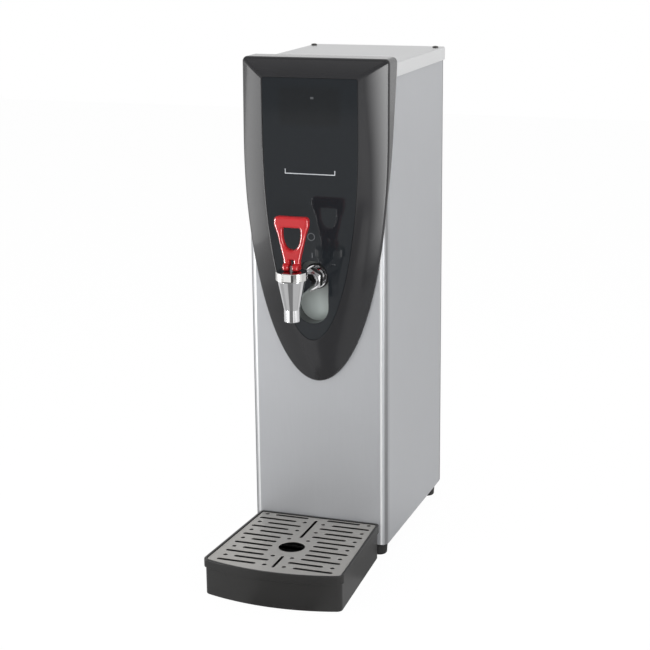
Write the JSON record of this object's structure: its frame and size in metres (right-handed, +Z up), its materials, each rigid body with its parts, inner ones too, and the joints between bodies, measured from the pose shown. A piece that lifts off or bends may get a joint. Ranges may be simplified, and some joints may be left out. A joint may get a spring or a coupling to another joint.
{
  "type": "water boiler",
  "caption": "Counter-top hot-water dispenser: stainless body, black shield fascia, lever tap with red handle, and a separate drip tray with a perforated grille.",
  "frame": {"origin": "on the table under the middle of the bounding box", "axes": "+Z up, -Y towards the user, +X to the right seen from the user"},
  "size_m": [0.18, 0.4386, 0.606],
  "materials": {
    "stainless": "satin folded stainless sheet",
    "zinc_steel": "plain zinc-plated steel",
    "chrome": "polished chrome plate",
    "gloss_black": "glossy black moulding",
    "overlay_black": "high-gloss blue-black panel",
    "tray_black": "satin black moulding",
    "red_plastic": "glossy red moulding",
    "rubber": "black rubber",
    "silicone": "pale silicone",
    "insulation": "felted insulation",
    "board_green": "solder-masked circuit board",
    "brass": "machined brass",
    "aluminium": "extruded aluminium",
    "dark_screw": "blackened screw"
  },
  "bodies": {
    "cabinet": {"body_wrap": "stainless", "base_pan": "zinc_steel", "foot_front_left": "rubber", "foot_front_right": "rubber", "foot_rear_left": "rubber", "foot_rear_right": "rubber", "back_panel": "zinc_steel", "back_screw_1": "zinc_steel", "back_screw_2": "zinc_steel", "back_screw_3": "zinc_steel", "back_screw_4": "zinc_steel", "top_cover": "stainless", "cover_screw_left": "dark_screw", "cover_screw_right": "dark_screw", "fascia": "gloss_black", "panel_overlay": "overlay_black", "fascia_screw_1": "zinc_steel", "fascia_screw_2": "zinc_steel", "fascia_screw_3": "zinc_steel", "display_board": "board_green", "faucet_shank": "chrome", "shank_washer": "rubber", "shank_lock_nut": "brass", "coupling_nut": "chrome", "faucet_body": "chrome", "faucet_bonnet": "chrome", "valve_spring": "zinc_steel", "tank_shell": "zinc_steel", "tank_gasket": "silicone", "tank_lid": "zinc_steel", "lid_screw_1": "zinc_steel", "lid_screw_2": "zinc_steel", "lid_screw_3": "zinc_steel", "lid_screw_4": "zinc_steel", "insulation_jacket": "insulation", "outlet_tube": "silicone", "tank_bracket_front": "zinc_steel", "tank_bracket_rear": "zinc_steel", "heating_element": "zinc_steel", "temperature_probe": "zinc_steel", "level_probe": "zinc_steel", "limit_thermostat": "overlay_black", "inlet_valve": "tray_black", "inlet_fitting": "brass", "fill_tube": "silicone", "board_bracket": "zinc_steel", "control_board": "board_green", "heat_sink": "aluminium", "terminal_block": "silicone", "cord_gland": "tray_black", "gland_nut": "tray_black", "power_switch_body": "tray_black"},
    "valve_lift": {"valve_stem": "zinc_steel", "seat_cup": "silicone"},
    "lever": {"tap_handle": "red_plastic", "handle_pin": "zinc_steel"},
    "tray": {"drip_tray": "tray_black"},
    "grille": {"drip_grille": "stainless"},
    "rocker": {"switch_rocker": "tray_black"}
  },
  "joints": [
    {"name": "valve_lift_slide", "type": "slide", "parent": "cabinet", "child": "valve_lift", "axis": [0, 0, 1], "range_m": [0, 0.00184], "deforming": ["valve_spring"]},
    {"name": "lever_tilt", "type": "hinge", "parent": "valve_lift", "child": "lever", "pos_m": [0, -0.12455, 0.378], "axis": [1, 0, 0], "range_deg": [0, 45], "stiffness_Nm_per_rad": 0.02},
    {"name": "tray_slide", "type": "slide", "parent": "cabinet", "child": "tray", "axis": [0, -1, 0], "range_m": [0, 0.2]},
    {"name": "grille_lift", "type": "slide", "parent": "tray", "child": "grille", "axis": [0, 0, 1], "range_m": [0, 0.06]},
    {"name": "rocker_tilt", "type": "hinge", "parent": "cabinet", "child": "rocker", "pos_m": [-0.045, 0.20365, 0.085], "axis": [1, 0, 0], "range_deg": [0, 14]}
  ],
  "couplings": [
    {"joint": "valve_lift_slide", "follows": "lever_tilt", "m_per_rad": 0.0023408}
  ]
}
